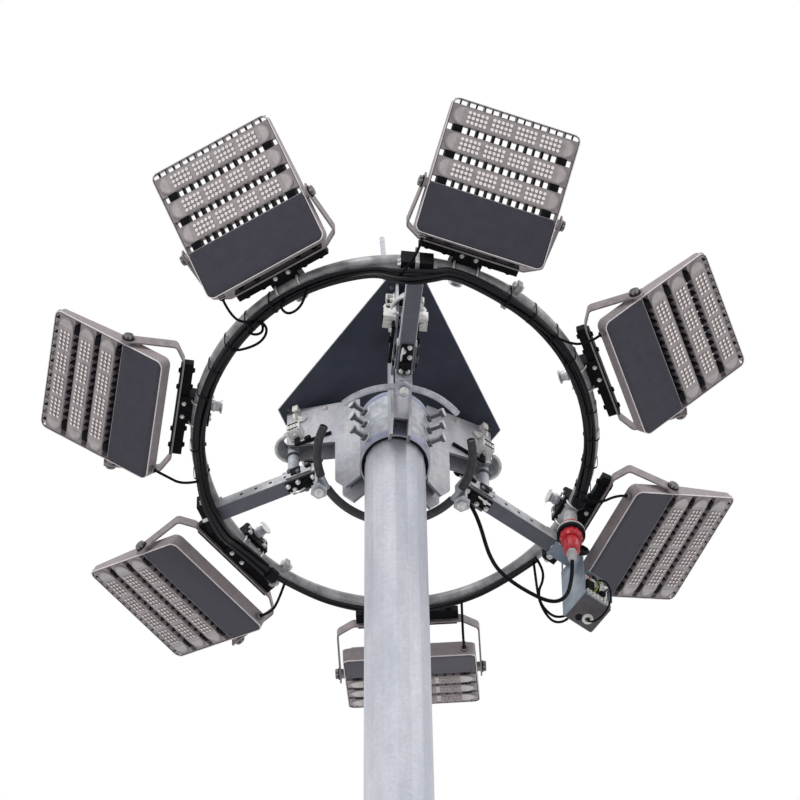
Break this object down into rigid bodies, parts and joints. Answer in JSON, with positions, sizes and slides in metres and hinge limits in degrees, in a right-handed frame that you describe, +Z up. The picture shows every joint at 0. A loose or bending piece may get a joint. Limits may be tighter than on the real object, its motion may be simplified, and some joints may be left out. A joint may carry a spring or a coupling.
{
  "type": "high mast floodlight tower",
  "caption": "Tapered sixteen-sided steel mast with a fixed head and rain hood, and a crown of tilting LED floodlights on a ring that lowers down the shaft.",
  "frame": {"origin": "middle of the underside of the base flange", "axes": "+Z up along the mast; the camera side of the picture is -Y"},
  "size_m": [2.1136, 2.1127, 25.9917],
  "materials": {
    "galvanised_steel": "hot-dip galvanised, light bluish grey",
    "shaft_galvanised": "hot-dip galvanised, light bluish grey with mottled streaks",
    "bright_bolts": "bright zinc",
    "black_rubber": "matt black",
    "black_plastic": "matt black",
    "black_paint": "black paint",
    "white_plastic": "off-white",
    "red_plastic": "red with dark flange",
    "slate_sheet": "dark slate sheet",
    "cable_black": "black cable sheath",
    "box_grey": "light blue-grey",
    "yoke_grey": "warm grey powder coat",
    "housing_paint": "warm grey powder coat, darker on the driver cover",
    "lens": "grey lens plate with bright points"
  },
  "bodies": {
    "mast": {"base_flange": "galvanised_steel", "base_gussets": "galvanised_steel", "bracket_webs": "galvanised_steel", "dock_horns": "galvanised_steel", "door_frame": "galvanised_steel", "head_brackets": "galvanised_steel", "head_sleeve": "galvanised_steel", "latch_blocks": "white_plastic", "lightning_rod": "galvanised_steel", "rain_hood": "slate_sheet", "rope_sheaves": "black_plastic", "service_door": "galvanised_steel", "set_screws": "bright_bolts", "shaft_bottom": "shaft_galvanised", "shaft_middle": "shaft_galvanised", "shaft_top": "shaft_galvanised", "sheave_pins": "bright_bolts", "sleeve_lining": "black_rubber"},
    "crown": {"ring_half_far": "galvanised_steel", "ring_half_near": "galvanised_steel", "splice_bolts": "bright_bolts", "arm_left": "galvanised_steel", "arm_near": "galvanised_steel", "arm_right": "galvanised_steel", "arm_saddles": "black_plastic", "dock_posts": "galvanised_steel", "guide_brackets": "galvanised_steel", "guide_arcs": "galvanised_steel", "guide_hoses": "black_rubber", "ring_clamps": "black_paint", "u_bolts": "bright_bolts", "cable_spigots": "galvanised_steel", "cable_bundle": "cable_black", "lamp_leads": "cable_black", "supply_cable": "cable_black", "feeder_cables": "cable_black", "power_coupler": "red_plastic", "junction_box": "box_grey", "box_bracket": "galvanised_steel", "yoke_1": "yoke_grey", "yoke_2": "yoke_grey", "yoke_3": "yoke_grey", "yoke_4": "yoke_grey", "yoke_5": "yoke_grey", "yoke_6": "yoke_grey", "yoke_7": "yoke_grey"},
    "light_1": {"light_housing_1": "housing_paint", "light_lenses_1": "lens"},
    "light_2": {"light_housing_2": "housing_paint", "light_lenses_2": "lens"},
    "light_3": {"light_housing_3": "housing_paint", "light_lenses_3": "lens"},
    "light_4": {"light_housing_4": "housing_paint", "light_lenses_4": "lens"},
    "light_5": {"light_housing_5": "housing_paint", "light_lenses_5": "lens"},
    "light_6": {"light_housing_6": "housing_paint", "light_lenses_6": "lens"},
    "light_7": {"light_housing_7": "housing_paint", "light_lenses_7": "lens"}
  },
  "joints": [
    {"name": "crown_travel", "type": "slide", "parent": "mast", "child": "crown", "axis": [0, 0, 1], "range_m": [-23, 0]},
    {"name": "light_tilt_1", "type": "hinge", "parent": "crown", "child": "light_1", "pos_m": [-0.42697, -0.71059, 24.762], "axis": [-0.8572, 0.515, 0], "range_deg": [-36.2, 53.8]},
    {"name": "light_tilt_2", "type": "hinge", "parent": "crown", "child": "light_2", "pos_m": [0.29438, -0.77497, 24.762], "axis": [-0.9348, -0.3551, 0], "range_deg": [-33.2, 56.8]},
    {"name": "light_tilt_3", "type": "hinge", "parent": "crown", "child": "light_3", "pos_m": [0.78707, -0.2603, 24.762], "axis": [-0.314, -0.9494, 0], "range_deg": [-39.3, 50.7]},
    {"name": "light_tilt_4", "type": "hinge", "parent": "crown", "child": "light_4", "pos_m": [0.73196, 0.38919, 24.762], "axis": [0.4695, -0.8829, 0], "range_deg": [-34.5, 55.5]},
    {"name": "light_tilt_5", "type": "hinge", "parent": "crown", "child": "light_5", "pos_m": [0.0405, 0.82801, 24.762], "axis": [0.9988, -0.0488, 0], "range_deg": [-38.8, 51.2]},
    {"name": "light_tilt_6", "type": "hinge", "parent": "crown", "child": "light_6", "pos_m": [-0.62375, 0.54605, 24.762], "axis": [0.6587, 0.7524, 0], "range_deg": [-32.4, 57.6]},
    {"name": "light_tilt_7", "type": "hinge", "parent": "crown", "child": "light_7", "pos_m": [-0.82011, -0.1211, 24.762], "axis": [-0.1461, 0.9893, 0], "range_deg": [-38.7, 51.3]}
  ]
}
